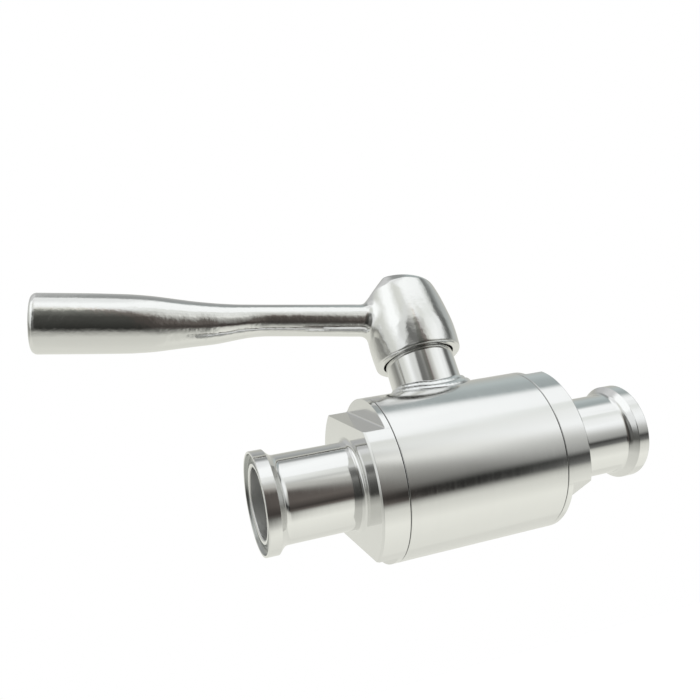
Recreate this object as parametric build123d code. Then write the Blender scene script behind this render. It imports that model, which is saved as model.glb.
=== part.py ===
from build123d import *
import math
import os

# Hygienic full-bore ball valve with clamp ends and a one-piece cast lever, in millimetres.
# Origin: centre of the ball. +X runs along the pipe towards the outlet, +Z runs up the stem,
# and the valve is drawn fully open with its lever lying over the inlet end (-X).

# ---- driving dimensions: pipeline ends ----
FACE_TO_FACE = 208.0
BORE_RADIUS = 17.4
BORE_EDGE_ROUND = 1.0
TUBE_RADIUS = 21.6
CLAMP_RADIUS = 25.25
CLAMP_RIM_LENGTH = 6.6
CLAMP_BEVEL_LENGTH = 3.1
CLAMP_BEVEL_RADIUS = 24.9
CLAMP_EDGE = 0.4
CLAMP_ROOT_FILLET = 4.5
GROOVE_OUTER_RADIUS = 24.2
GROOVE_INNER_RADIUS = 19.2
GROOVE_DEPTH = 2.0
GROOVE_SLOPE = 0.7
INNER_LAND_RECESS = 0.9

# ---- driving dimensions: barrel and screwed end caps ----
BARREL_RADIUS = 41.25
BARREL_HALF_LENGTH = 41.75
BARREL_BORE_RADIUS = 33.5
SEAM_CHAMFER = 0.5
CAP_OUTER_FACE = 55.8
CAP_EDGE = 0.9
CAP_ROOT_FILLET = 2.5
CAP_SPIGOT_RADIUS = 33.45
CAP_SPIGOT_END = 16.0
FLATS_ACROSS = 62.0
FLATS_START = 45.0
FLATS_CORNER_RADIUS = 0.8
INLET_FLATS_ANGLE = 29.3
OUTLET_FLATS_ANGLE = -5.5
GASKET_POCKET_RADIUS = 36.5
GASKET_THICKNESS = 2.0
GASKET_GAP = 0.05

# ---- driving dimensions: ball and seats ----
BALL_RADIUS = 26.5
BALL_SLOT_WIDTH = 8.0
BALL_SLOT_FLOOR = 21.5
SEAT_OUTER_RADIUS = 24.4
SEAT_POCKET_RADIUS = 24.5
SEAT_BACK = 23.5
SEAT_FRONT = 16.2
SEAT_RUNNING_GAP = 0.05

# ---- driving dimensions: stem housing ----
NECK_RADIUS = 18.66
NECK_TOP = 66.0
NECK_EDGE = 0.8
WELD_RADIUS = 23.0
WELD_HEIGHT = 3.7
WELD_SLOPE = 2.4
STEM_HOLE_RADIUS = 8.06
COLLAR_POCKET_RADIUS = 12.2
COLLAR_POCKET_TOP = 34.0
PACKING_BOX_RADIUS = 13.0
PACKING_BOX_FLOOR = 47.0
STOP_PIN_RADIUS = 1.5
STOP_PIN_CIRCLE = 15.85
STOP_PIN_BOTTOM = 60.0
STOP_PIN_TOP = 72.6
STOP_PIN_EDGE = 0.4
STOP_PIN_FIT = 0.02

# ---- driving dimensions: stem and the parts stacked on it ----
STEM_RADIUS = 8.0
STEM_THREAD_RADIUS = 7.0
STEM_FLATS = 10.0
STEM_KEY_GAP = 0.05
STEM_TOP = 93.0
TANG_THICKNESS = 7.8
TANG_WIDTH = 15.0
TANG_BOTTOM = 21.8
COLLAR_RADIUS = 11.8
COLLAR_BOTTOM = 28.4
COLLAR_TOP = 32.3
THRUST_WASHER_THICKNESS = 1.6
THRUST_WASHER_GAP = 0.02
O_RING_SECTION_RADIUS = 1.0
O_RING_CENTRE_RADIUS = 7.03
O_RING_HEIGHT = 43.0
O_RING_GROOVE_WIDTH = 2.4
O_RING_GROOVE_RADIUS = 6.0
PACKING_RING_HEIGHT = 2.6
PACKING_RING_COUNT = 3
PACKING_CHEVRON_RISE = 1.2
PACKING_RUNNING_GAP = 0.05
PACKING_STACK_GAP = 0.02
GLAND_TOP = 66.7
GLAND_FLANGE_HEIGHT = 0.6
GLAND_FLANGE_RADIUS = 13.8
DISC_SPRING_RADIUS = 12.4
DISC_SPRING_THICKNESS = 1.0
DISC_SPRING_RISE = 0.45
DISC_SPRING_HOLE_RADIUS = 7.1
DISC_SPRING_SEAT_GAP = 0.15
DISC_SPRING_RIM_GAP = 0.02
STOP_PLATE_BOTTOM = 70.1
STOP_PLATE_THICKNESS = 2.0
STOP_PLATE_RADIUS = 18.6
STOP_CLEARANCE = 0.15
GLAND_NUT_BOTTOM = 72.2
GLAND_NUT_HEIGHT = 5.2
GLAND_NUT_ACROSS_FLATS = 21.0
GLAND_NUT_CROWN_RADIUS = 11.5
THREAD_GAP = 0.02
LOCK_WASHER_THICKNESS = 1.2
LOCK_WASHER_RADIUS = 12.6
LOCK_WASHER_GAP = 0.05
LOCK_TAB_WIDTH = 6.0
LOCK_TAB_HEIGHT = 3.4
LOCK_TAB_GAP = 0.1

# ---- driving dimensions: lever casting ----
LEVER_TILT = 8.1
LEVER_AXIS_HEIGHT = 84.4
LEVER_LENGTH = 194.7
ROD_RADIUS = 8.5
ROOT_RADIUS = 10.7
ROOT_START = 15.0
ROOT_END = 28.0
GRIP_RADIUS = 15.2
GRIP_DROP = 2.0
# Sections of the swelling between rod and grip: distance from the stem, drop of the centre, radius.
SWELL_SECTIONS = [
    (78.0, 0.0, ROD_RADIUS),
    (88.0, 0.4, 8.8),
    (95.0, 1.2, 9.4),
    (104.0, 1.9, 10.6),
    (116.0, GRIP_DROP, 11.8),
    (130.0, GRIP_DROP, 13.5),
    (142.0, GRIP_DROP, 14.7),
    (154.0, GRIP_DROP, GRIP_RADIUS),
]
GRIP_END_ROUND = 3.0
HUB_RIM_HEIGHT = 59.8
HUB_RIM_RADIUS = 23.5
HUB_RIM_ROUND = 0.8
HUB_BELLY_RADIUS = 24.1
HUB_BELLY_HEIGHT = 71.0
HUB_KINK_RADIUS = 23.8
HUB_KINK_HEIGHT = 79.4
HUB_SHOULDER_RADIUS = 21.1
HUB_SHOULDER_HEIGHT = 99.3
HUB_CROWN_RADIUS = 14.4
HUB_CROWN_HEIGHT = 108.5
HUB_TOP_HEIGHT = 104.5
HUB_TOP_SLANT = 16.0
HUB_BEVEL_START = -10.3
HUB_BEVEL_ANGLE = 41.5
HUB_TOP_ROUND = 0.8
HUB_CAVITY_RADIUS = 19.4
HUB_CAVITY_TOP = 79.6
STEM_TOP_GAP = 0.5
SCREW_SEAT_HEIGHT = 95.5
SCREW_POCKET_RADIUS = 7.4
SCREW_CLEARANCE_RADIUS = 4.3
SCREW_RADIUS = 3.95
SCREW_HEAD_RADIUS = 6.5
SCREW_HEAD_HEIGHT = 5.0
SCREW_HEAD_EDGE = 0.6
SCREW_BOTTOM = 76.0
SCREW_HOLE_RADIUS = 4.0
SCREW_HOLE_BOTTOM = 74.0
HEX_KEY_ACROSS_FLATS = 5.0
HEX_KEY_DEPTH = 3.0
WASHER_RADIUS = 7.0
WASHER_THICKNESS = 1.4

# ---- values worked out from the driving dimensions ----
PIPE_END = FACE_TO_FACE / 2
CLAMP_BACK = PIPE_END - CLAMP_RIM_LENGTH
TUBE_END = CLAMP_BACK - CLAMP_BEVEL_LENGTH
PACKING_PITCH = PACKING_RING_HEIGHT + PACKING_STACK_GAP
OPEN_WAY = Axis.X
STEM_WAY = Axis.Z

# ---- modelling aids ----
# Cutters reach past the face they cut by the overcut; edges are picked within the tolerance.
OVERCUT = 1.0
TOLERANCE = 0.01


def about_pipe(points):
    """Solid of revolution about the pipe axis from (x, radius) points."""
    return revolve(make_face(Polyline(*points, close=True)), axis=OPEN_WAY)


def about_stem(points):
    """Solid of revolution about the stem axis from (radius, height) points."""
    outline = Polyline(*[(radius, 0, height) for radius, height in points], close=True)
    return revolve(make_face(outline), axis=STEM_WAY)


def disc(radius, bottom, top):
    """Round bar standing on the stem axis."""
    return Pos(0, 0, (bottom + top) / 2) * Cylinder(radius, top - bottom)


def ring(inner_radius, outer_radius, bottom, top):
    """Flat ring round the stem axis."""
    return disc(outer_radius, bottom, top) - disc(inner_radius, bottom - OVERCUT, top + OVERCUT)


def pipe_bar(radius, start, end):
    """Round bar along the pipe axis."""
    bar = Cylinder(radius, end - start, rotation=(0, 90, 0))
    return Pos((start + end) / 2, 0, 0) * bar


def double_d(radius, across_flats, bottom, top):
    """Round bar with two flats facing +X and -X."""
    height = top - bottom
    slab = Pos(0, 0, (bottom + top) / 2) * Box(across_flats, 2 * radius + OVERCUT, height)
    return disc(radius, bottom, top) & slab


def stem_keyhole(bottom, top):
    """Cutter for the hole that fits the stem's flats."""
    radius = STEM_THREAD_RADIUS + STEM_KEY_GAP
    return double_d(radius, STEM_FLATS + 2 * STEM_KEY_GAP, bottom, top)


def near(value, target):
    """Whether a measured value matches a target."""
    return abs(value - target) < TOLERANCE


def distance_from_pipe(point):
    """Distance of a point from the pipe axis."""
    return math.hypot(point.Y, point.Z)


def distance_from_stem(point):
    """Distance of a point from the stem axis."""
    return math.hypot(point.X, point.Y)


def barrel():
    """Middle body: a turned sleeve with gasket recesses and the stem opening on top."""
    body = pipe_bar(BARREL_RADIUS, -BARREL_HALF_LENGTH, BARREL_HALF_LENGTH)
    body = chamfer(body.edges().filter_by(GeomType.CIRCLE), SEAM_CHAMFER)
    body -= pipe_bar(BARREL_BORE_RADIUS, -PIPE_END, PIPE_END)
    recess_start = BARREL_HALF_LENGTH - GASKET_THICKNESS
    body -= pipe_bar(GASKET_POCKET_RADIUS, recess_start, PIPE_END)
    body -= pipe_bar(GASKET_POCKET_RADIUS, -PIPE_END, -recess_start)
    body -= disc(STEM_HOLE_RADIUS, 0, 2 * BARREL_RADIUS)
    body -= disc(COLLAR_POCKET_RADIUS, 0, COLLAR_POCKET_TOP)
    return body


def end_cap(flats_angle):
    """Outlet-side cap: threaded spigot, wrench-flat ring, tube and clamp ferrule in one piece."""
    land_face = PIPE_END - INNER_LAND_RECESS
    points = [
        (CAP_SPIGOT_END, SEAT_POCKET_RADIUS),
        (CAP_SPIGOT_END, CAP_SPIGOT_RADIUS),
        (BARREL_HALF_LENGTH, CAP_SPIGOT_RADIUS),
        (BARREL_HALF_LENGTH, BARREL_RADIUS - SEAM_CHAMFER),
        (BARREL_HALF_LENGTH + SEAM_CHAMFER, BARREL_RADIUS),
        (CAP_OUTER_FACE - CAP_EDGE, BARREL_RADIUS),
        (CAP_OUTER_FACE, BARREL_RADIUS - CAP_EDGE),
        (CAP_OUTER_FACE, TUBE_RADIUS),
        (TUBE_END, TUBE_RADIUS),
        (CLAMP_BACK, CLAMP_BEVEL_RADIUS),
        (CLAMP_BACK + CLAMP_EDGE, CLAMP_RADIUS),
        (PIPE_END - CLAMP_EDGE, CLAMP_RADIUS),
        (PIPE_END, CLAMP_RADIUS - CLAMP_EDGE),
        (PIPE_END, GROOVE_OUTER_RADIUS),
        (PIPE_END - GROOVE_DEPTH, GROOVE_OUTER_RADIUS - GROOVE_SLOPE),
        (PIPE_END - GROOVE_DEPTH, GROOVE_INNER_RADIUS + GROOVE_SLOPE),
        (land_face, GROOVE_INNER_RADIUS),
        (land_face, BORE_RADIUS + BORE_EDGE_ROUND),
        (land_face - BORE_EDGE_ROUND, BORE_RADIUS),
        (SEAT_BACK, BORE_RADIUS),
        (SEAT_BACK, SEAT_POCKET_RADIUS),
    ]
    cap = about_pipe(points)
    for root_place, root_fillet in ((CAP_OUTER_FACE, CAP_ROOT_FILLET), (TUBE_END, CLAMP_ROOT_FILLET)):
        root = cap.edges().filter_by(
            lambda edge: near((edge @ 0.5).X, root_place)
            and near(distance_from_pipe(edge @ 0.5), TUBE_RADIUS)
        )
        cap = fillet(root, root_fillet)
    cutter_length = CAP_OUTER_FACE - FLATS_START
    for side in (1, -1):
        offset = side * (FLATS_ACROSS + BARREL_RADIUS) / 2
        cutter = Pos(FLATS_START + cutter_length / 2, 0, offset) * Box(
            cutter_length, 2 * BARREL_RADIUS, BARREL_RADIUS
        )
        cap -= Rot(flats_angle, 0, 0) * cutter
    corners = cap.edges().filter_by(GeomType.LINE).filter_by(
        lambda edge: near((edge @ 0).X, FLATS_START) and near((edge @ 1).X, FLATS_START)
    )
    return fillet(corners, FLATS_CORNER_RADIUS)


def cap_gasket():
    """Flat ring squeezed between the outlet cap's face and the barrel's recess."""
    inner = pipe_bar(CAP_SPIGOT_RADIUS + GASKET_GAP, 0, PIPE_END)
    start = BARREL_HALF_LENGTH - GASKET_THICKNESS
    return pipe_bar(GASKET_POCKET_RADIUS - GASKET_GAP, start, BARREL_HALF_LENGTH) - inner


def seat():
    """Outlet seat ring with a spherical face against the ball."""
    face_radius = BALL_RADIUS + SEAT_RUNNING_GAP
    front_angle = math.acos(SEAT_FRONT / face_radius)
    bore_angle = math.asin(BORE_RADIUS / face_radius)
    face_points = [
        (face_radius * math.cos(angle), face_radius * math.sin(angle))
        for angle in (front_angle, (front_angle + bore_angle) / 2, bore_angle)
    ]
    sides = Polyline(
        face_points[2],
        (SEAT_BACK, BORE_RADIUS),
        (SEAT_BACK, SEAT_OUTER_RADIUS),
        (SEAT_FRONT, SEAT_OUTER_RADIUS),
        face_points[0],
    )
    return revolve(make_face([sides, ThreePointArc(*face_points)]), axis=OPEN_WAY)


def mirrored(piece):
    """The same piece at the inlet end."""
    return mirror(piece, about=Plane.YZ)


def ball():
    """Bored sphere with the slot that the stem's tang drives."""
    sphere = Sphere(BALL_RADIUS) - pipe_bar(BORE_RADIUS, -PIPE_END, PIPE_END)
    slot_height = BALL_RADIUS
    slot = Pos(0, 0, BALL_SLOT_FLOOR + slot_height / 2) * Box(
        BALL_SLOT_WIDTH, 3 * BALL_RADIUS, slot_height
    )
    return sphere - slot


def neck():
    """Stem housing: saddle foot on the barrel, stem hole and packing box."""
    bar = disc(NECK_RADIUS, 0, NECK_TOP)
    bar = chamfer(bar.edges().filter_by(GeomType.CIRCLE).sort_by(STEM_WAY)[-1], NECK_EDGE)
    bar -= pipe_bar(BARREL_RADIUS, -BARREL_RADIUS, BARREL_RADIUS)
    bar -= disc(STEM_HOLE_RADIUS, 0, NECK_TOP + OVERCUT)
    bar -= disc(PACKING_BOX_RADIUS, PACKING_BOX_FLOOR, NECK_TOP + OVERCUT)
    bar -= stop_pin_bar(STOP_PIN_RADIUS + STOP_PIN_FIT, NECK_TOP + OVERCUT)
    return bar


def weld_bead():
    """Fillet weld that runs round the neck's saddle foot."""
    shell = pipe_bar(BARREL_RADIUS + WELD_HEIGHT, -BARREL_RADIUS, BARREL_RADIUS)
    shell -= pipe_bar(BARREL_RADIUS, -BARREL_RADIUS, BARREL_RADIUS)
    bead = shell & disc(WELD_RADIUS, 0, 2 * BARREL_RADIUS)
    bead -= disc(NECK_RADIUS, 0, 3 * BARREL_RADIUS)
    outer_top = bead.edges().filter_by(
        lambda edge: near(distance_from_pipe(edge @ 0.5), BARREL_RADIUS + WELD_HEIGHT)
        and near(distance_from_stem(edge @ 0.5), WELD_RADIUS)
    )
    return chamfer(outer_top, WELD_SLOPE)


def stop_pin_bar(radius, top):
    """Upright bar at the stop pin's place, on the inlet side of the neck's top."""
    place = Pos(-STOP_PIN_CIRCLE, 0, (STOP_PIN_BOTTOM + top) / 2)
    return place * Cylinder(radius, top - STOP_PIN_BOTTOM)


def stem():
    """Blow-out-proof stem: tang, collar, seal groove, threaded double-D top and screw hole."""
    tang_height = COLLAR_BOTTOM - TANG_BOTTOM
    tang = Pos(0, 0, TANG_BOTTOM + tang_height / 2) * Box(TANG_THICKNESS, TANG_WIDTH, tang_height)
    body = tang + disc(COLLAR_RADIUS, COLLAR_BOTTOM, COLLAR_TOP)
    body += disc(STEM_RADIUS, COLLAR_TOP, NECK_TOP)
    body += double_d(STEM_THREAD_RADIUS, STEM_FLATS, NECK_TOP, STEM_TOP)
    half_width = O_RING_GROOVE_WIDTH / 2
    groove_bottom = O_RING_HEIGHT - half_width
    groove_top = O_RING_HEIGHT + half_width
    body -= ring(O_RING_GROOVE_RADIUS, STEM_RADIUS + OVERCUT, groove_bottom, groove_top)
    return body - disc(SCREW_HOLE_RADIUS, SCREW_HOLE_BOTTOM, STEM_TOP + OVERCUT)


def thrust_washer():
    """Low-friction washer between the stem's collar and the barrel."""
    bottom = COLLAR_TOP + THRUST_WASHER_GAP
    return ring(STEM_HOLE_RADIUS, COLLAR_RADIUS, bottom, bottom + THRUST_WASHER_THICKNESS)


def stem_o_ring():
    """Round-section ring in the stem's groove."""
    return Pos(0, 0, O_RING_HEIGHT) * Torus(O_RING_CENTRE_RADIUS, O_RING_SECTION_RADIUS)


def packing_profile(bottom, top, bottom_rise, top_rise):
    """Packing ring whose lower and upper faces rise to a ridge at mid width."""
    inner = STEM_RADIUS + PACKING_RUNNING_GAP
    outer = PACKING_BOX_RADIUS - PACKING_RUNNING_GAP
    middle = (inner + outer) / 2
    return about_stem([
        (inner, bottom),
        (middle, bottom + bottom_rise),
        (outer, bottom),
        (outer, top),
        (middle, top + top_rise),
        (inner, top),
    ])


def packing_base():
    """Bottom adapter ring: flat below, ridged above."""
    return packing_profile(
        PACKING_BOX_FLOOR, PACKING_BOX_FLOOR + PACKING_RING_HEIGHT, 0, PACKING_CHEVRON_RISE
    )


def packing_stack():
    """Chevron rings stacked on the bottom adapter."""
    rings = []
    for number in range(1, PACKING_RING_COUNT + 1):
        bottom = PACKING_BOX_FLOOR + number * PACKING_PITCH
        top = bottom + PACKING_RING_HEIGHT
        rings.append(packing_profile(bottom, top, PACKING_CHEVRON_RISE, PACKING_CHEVRON_RISE))
    return rings


def packing_gland():
    """Follower sleeve that presses on the packing, with a thin flange above the neck."""
    inner = STEM_RADIUS + PACKING_RUNNING_GAP
    outer = PACKING_BOX_RADIUS - PACKING_RUNNING_GAP
    middle = (inner + outer) / 2
    bottom = PACKING_BOX_FLOOR + (PACKING_RING_COUNT + 1) * PACKING_PITCH
    flange_bottom = GLAND_TOP - GLAND_FLANGE_HEIGHT
    return about_stem([
        (inner, bottom),
        (middle, bottom + PACKING_CHEVRON_RISE),
        (outer, bottom),
        (outer, flange_bottom),
        (GLAND_FLANGE_RADIUS, flange_bottom),
        (GLAND_FLANGE_RADIUS, GLAND_TOP),
        (inner, GLAND_TOP),
    ])


def disc_springs():
    """Pair of coned disc springs, rim to rim."""
    first = GLAND_TOP + DISC_SPRING_SEAT_GAP
    rim = first + DISC_SPRING_RISE
    lower = about_stem([
        (DISC_SPRING_HOLE_RADIUS, first),
        (DISC_SPRING_RADIUS, rim),
        (DISC_SPRING_RADIUS, rim + DISC_SPRING_THICKNESS),
        (DISC_SPRING_HOLE_RADIUS, first + DISC_SPRING_THICKNESS),
    ])
    meeting_height = rim + DISC_SPRING_THICKNESS + DISC_SPRING_RIM_GAP / 2
    return [lower, mirror(lower, about=Plane.XY.offset(meeting_height))]


def stop_plate():
    """Plate keyed to the stem; the ends of its quarter-turn slot meet the stop pin."""
    top = STOP_PLATE_BOTTOM + STOP_PLATE_THICKNESS
    plate = disc(STOP_PLATE_RADIUS, STOP_PLATE_BOTTOM, top)
    plate -= stem_keyhole(STOP_PLATE_BOTTOM - OVERCUT, top + OVERCUT)
    slot_half_width = STOP_PIN_RADIUS + STOP_CLEARANCE
    slot_angle = math.degrees(slot_half_width / STOP_PIN_CIRCLE)
    slot_floor = STOP_PIN_CIRCLE - slot_half_width
    start_angle = 180 - slot_angle
    sweep_angle = 90 + 2 * slot_angle
    sector = Rot(0, 0, start_angle) * ring_sector(slot_floor, STOP_PLATE_RADIUS + OVERCUT, sweep_angle)
    cutter = extrude(sector, STOP_PLATE_THICKNESS + 2 * OVERCUT)
    return plate - Pos(0, 0, STOP_PLATE_BOTTOM - OVERCUT) * cutter


def ring_sector(inner_radius, outer_radius, sweep_angle):
    """Flat face between two radii, from the +X direction through the sweep angle."""
    half = math.radians(sweep_angle)
    outer_arc = CenterArc((0, 0), outer_radius, 0, sweep_angle)
    inner_arc = CenterArc((0, 0), inner_radius, 0, sweep_angle)
    first_side = Line((inner_radius, 0), (outer_radius, 0))
    last_side = Line(
        (inner_radius * math.cos(half), inner_radius * math.sin(half)),
        (outer_radius * math.cos(half), outer_radius * math.sin(half)),
    )
    return make_face([first_side, outer_arc, last_side, inner_arc])


def stop_pin():
    """Dowel pressed into the neck's top face."""
    pin = stop_pin_bar(STOP_PIN_RADIUS, STOP_PIN_TOP)
    return chamfer(pin.edges().filter_by(GeomType.CIRCLE).sort_by(STEM_WAY)[-1], STOP_PIN_EDGE)


def gland_nut():
    """Hexagon nut on the stem thread that loads the disc springs."""
    hexagon = RegularPolygon(GLAND_NUT_ACROSS_FLATS / 2, 6, major_radius=False)
    nut = Pos(0, 0, GLAND_NUT_BOTTOM) * extrude(hexagon, GLAND_NUT_HEIGHT)
    nut &= disc(GLAND_NUT_CROWN_RADIUS, GLAND_NUT_BOTTOM, GLAND_NUT_BOTTOM + GLAND_NUT_HEIGHT)
    return nut - disc(STEM_THREAD_RADIUS + THREAD_GAP, 0, STEM_TOP)


def lock_washer():
    """Tab washer: keyed to the stem's flats, one tab bent down a flat of the nut."""
    bottom = GLAND_NUT_BOTTOM + GLAND_NUT_HEIGHT + LOCK_WASHER_GAP
    top = bottom + LOCK_WASHER_THICKNESS
    plate = disc(LOCK_WASHER_RADIUS, bottom, top)
    plate -= stem_keyhole(0, STEM_TOP)
    tab_inner = GLAND_NUT_ACROSS_FLATS / 2 + LOCK_TAB_GAP
    tab_outer = tab_inner + LOCK_WASHER_THICKNESS
    tab = Pos(0, (tab_inner + tab_outer) / 2, top - LOCK_TAB_HEIGHT / 2) * Box(
        LOCK_TAB_WIDTH, LOCK_WASHER_THICKNESS, LOCK_TAB_HEIGHT
    )
    return plate + tab


def lever_plane(distance, drop):
    """Plane square to the lever's axis, at a distance from the stem along the lever."""
    tilt = math.radians(LEVER_TILT)
    along = Vector(-math.cos(tilt), 0, math.sin(tilt))
    down = Vector(-math.sin(tilt), 0, -math.cos(tilt))
    centre = Vector(0, 0, LEVER_AXIS_HEIGHT) + along * distance + down * drop
    return Plane(origin=centre, x_dir=(0, 1, 0), z_dir=along)


def lever_section(distance, drop, radius):
    """Round section of the lever."""
    return lever_plane(distance, drop) * Circle(radius)


def lever_bar():
    """Rod with a flared root, finger rise and swollen grip."""
    rod_end = SWELL_SECTIONS[0][0]
    grip_start = SWELL_SECTIONS[-1][0]
    rod = extrude(lever_section(0, 0, ROD_RADIUS), rod_end)
    root = loft([lever_section(ROOT_START, 0, ROOT_RADIUS), lever_section(ROOT_END, 0, ROD_RADIUS)])
    swell = loft([lever_section(*section) for section in SWELL_SECTIONS])
    grip = extrude(lever_section(*SWELL_SECTIONS[-1]), LEVER_LENGTH - grip_start)
    grip = fillet(grip.edges().filter_by(GeomType.CIRCLE).sort_by(Axis.X)[0], GRIP_END_ROUND)
    return rod + root + swell + grip


def lever_hub():
    """Bell-shaped hub before it is hollowed: rim, belly, cone, and the slanted, bevelled crown."""
    hub = about_stem([
        (0, HUB_RIM_HEIGHT),
        (HUB_RIM_RADIUS - HUB_RIM_ROUND, HUB_RIM_HEIGHT),
        (HUB_RIM_RADIUS, HUB_RIM_HEIGHT + HUB_RIM_ROUND),
        (HUB_BELLY_RADIUS, HUB_BELLY_HEIGHT),
        (HUB_KINK_RADIUS, HUB_KINK_HEIGHT),
        (HUB_SHOULDER_RADIUS, HUB_SHOULDER_HEIGHT),
        (HUB_CROWN_RADIUS, HUB_CROWN_HEIGHT),
        (0, HUB_CROWN_HEIGHT),
    ])
    cutter = Pos(0, 0, HUB_TOP_HEIGHT / 2) * Box(2 * HUB_TOP_HEIGHT, HUB_TOP_HEIGHT, HUB_TOP_HEIGHT)
    bevel_height = HUB_TOP_HEIGHT - HUB_BEVEL_START * math.tan(math.radians(HUB_TOP_SLANT))
    hub -= Pos(0, 0, HUB_TOP_HEIGHT) * Rot(0, HUB_TOP_SLANT, 0) * cutter
    hub -= Pos(HUB_BEVEL_START, 0, bevel_height) * Rot(0, -HUB_BEVEL_ANGLE, 0) * cutter
    crown = hub.edges().filter_by(lambda edge: (edge @ 0.5).Z > HUB_SHOULDER_HEIGHT + HUB_TOP_ROUND)
    return fillet(crown, HUB_TOP_ROUND)


def handle_lever():
    """One casting: hub over the neck, rod and grip."""
    lever = lever_hub() + lever_bar()
    lever -= disc(HUB_CAVITY_RADIUS, HUB_RIM_HEIGHT - OVERCUT, HUB_CAVITY_TOP)
    lever -= stem_keyhole(HUB_RIM_HEIGHT, STEM_TOP + STEM_TOP_GAP)
    lever -= disc(SCREW_CLEARANCE_RADIUS, HUB_RIM_HEIGHT, HUB_TOP_HEIGHT)
    return lever - disc(SCREW_POCKET_RADIUS, SCREW_SEAT_HEIGHT, HUB_CROWN_HEIGHT + OVERCUT)


def handle_washer():
    """Washer under the lever screw's head."""
    top = SCREW_SEAT_HEIGHT + WASHER_THICKNESS
    return ring(SCREW_CLEARANCE_RADIUS, WASHER_RADIUS, SCREW_SEAT_HEIGHT, top)


def handle_screw():
    """Socket-head screw that draws the lever down on the stem."""
    head_bottom = SCREW_SEAT_HEIGHT + WASHER_THICKNESS
    head_top = head_bottom + SCREW_HEAD_HEIGHT
    head = disc(SCREW_HEAD_RADIUS, head_bottom, head_top)
    head = chamfer(head.edges().filter_by(GeomType.CIRCLE).sort_by(STEM_WAY)[-1], SCREW_HEAD_EDGE)
    key = RegularPolygon(HEX_KEY_ACROSS_FLATS / 2, 6, major_radius=False)
    head -= Pos(0, 0, head_top - HEX_KEY_DEPTH) * extrude(key, HEX_KEY_DEPTH + OVERCUT)
    return head + disc(SCREW_RADIUS, SCREW_BOTTOM, head_bottom)


def write(name, *solids):
    """Write one node as a STEP file, as one solid or a group of separate solids."""
    shape = solids[0] if len(solids) == 1 else Compound(children=list(solids))
    export_step(shape, f"parts/{name}.step")


os.makedirs("parts", exist_ok=True)
write("body_barrel", barrel())
write("stem_neck", neck())
write("neck_weld_bead", weld_bead())
write("end_cap_inlet", mirrored(end_cap(INLET_FLATS_ANGLE)))
write("end_cap_outlet", end_cap(OUTLET_FLATS_ANGLE))
write("cap_gasket_inlet", mirrored(cap_gasket()))
write("cap_gasket_outlet", cap_gasket())
write("seat_inlet", mirrored(seat()))
write("seat_outlet", seat())
write("ball", ball())
write("stem", stem())
write("stem_thrust_washer", thrust_washer())
write("stem_o_ring", stem_o_ring())
write("packing_base_ring", packing_base())
write("packing_chevron_rings", *packing_stack())
write("packing_gland", packing_gland())
write("disc_springs", *disc_springs())
write("stop_plate", stop_plate())
write("stop_pin", stop_pin())
write("gland_nut", gland_nut())
write("lock_washer", lock_washer())
write("handle_lever", handle_lever())
write("handle_washer", handle_washer())
write("handle_screw", handle_screw())
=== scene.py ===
import math

import bmesh
import bpy
import numpy as np
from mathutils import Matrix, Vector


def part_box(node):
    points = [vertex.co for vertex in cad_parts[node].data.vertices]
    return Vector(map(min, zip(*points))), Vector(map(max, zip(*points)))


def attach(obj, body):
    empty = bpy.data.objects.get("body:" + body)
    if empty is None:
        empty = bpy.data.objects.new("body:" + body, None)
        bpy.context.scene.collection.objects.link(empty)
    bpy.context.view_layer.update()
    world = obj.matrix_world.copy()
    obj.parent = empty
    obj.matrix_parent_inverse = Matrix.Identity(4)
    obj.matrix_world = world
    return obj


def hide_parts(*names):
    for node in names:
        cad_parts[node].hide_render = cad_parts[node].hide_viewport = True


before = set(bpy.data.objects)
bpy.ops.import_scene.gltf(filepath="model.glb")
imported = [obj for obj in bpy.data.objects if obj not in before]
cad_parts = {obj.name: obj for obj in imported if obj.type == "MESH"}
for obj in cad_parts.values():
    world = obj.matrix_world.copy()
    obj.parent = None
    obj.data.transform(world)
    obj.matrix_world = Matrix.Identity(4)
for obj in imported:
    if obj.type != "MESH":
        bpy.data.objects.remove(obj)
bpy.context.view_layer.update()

import openvdb
from mathutils import Matrix, Vector

# The valve in its own frame: pipe axis along X, stem axis along Z, ball centre at the origin.
# Shapes are worked out in millimetres and written to the meshes in metres.
MM = 0.001

# ---- sizes read from the CAD nodes ----
barrel_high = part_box("body_barrel")[1]
cap_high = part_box("end_cap_outlet")[1]
neck_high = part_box("stem_neck")[1]
lever_low, lever_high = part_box("handle_lever")
BARREL_RADIUS = barrel_high.y / MM
BARREL_HALF = barrel_high.x / MM
PIPE_END = cap_high.x / MM
NECK_RADIUS = neck_high.x / MM
HUB_RIM_HEIGHT = lever_low.z / MM

# ---- machined edges ----
# Sizes of a broken edge and a broken corner, the least angle that counts as an edge, and how far
# the large faces lead the shading of the small ones.
EDGE_BREAK = 0.35
CORNER_BREAK = 0.25
SHARP_ANGLE = math.radians(32)
LARGE_FACE_WEIGHT = 60

# ---- end caps ----
BORE_RADIUS = 17.4
TUBE_RADIUS = 21.6
CLAMP_RADIUS = 25.25
CLAMP_RIM = 6.6
CLAMP_BEVEL = 3.1
CLAMP_ROOT_FILLET = 4.5
CLAMP_BACK_ROUND = 0.15
CLAMP_RIM_ROUND = 0.1
CLAMP_FACE_ROUND = 0.4
GROOVE_OUTER = 24.2
GROOVE_INNER = 19.2
GROOVE_DEPTH = 2.0
LAND_RECESS = 0.9
CAP_FACE = 55.8
CAP_EDGE = 0.9
CAP_ROOT_FILLET = 2.5
CAP_SPIGOT_RADIUS = 33.45
CAP_SPIGOT_END = 16.0
SEAT_POCKET_RADIUS = 24.5
SEAT_BACK = 23.5
FLATS_ACROSS = 62.0
FLATS_START = 45.0
FLATS_CORNER_RADIUS = 0.8
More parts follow.
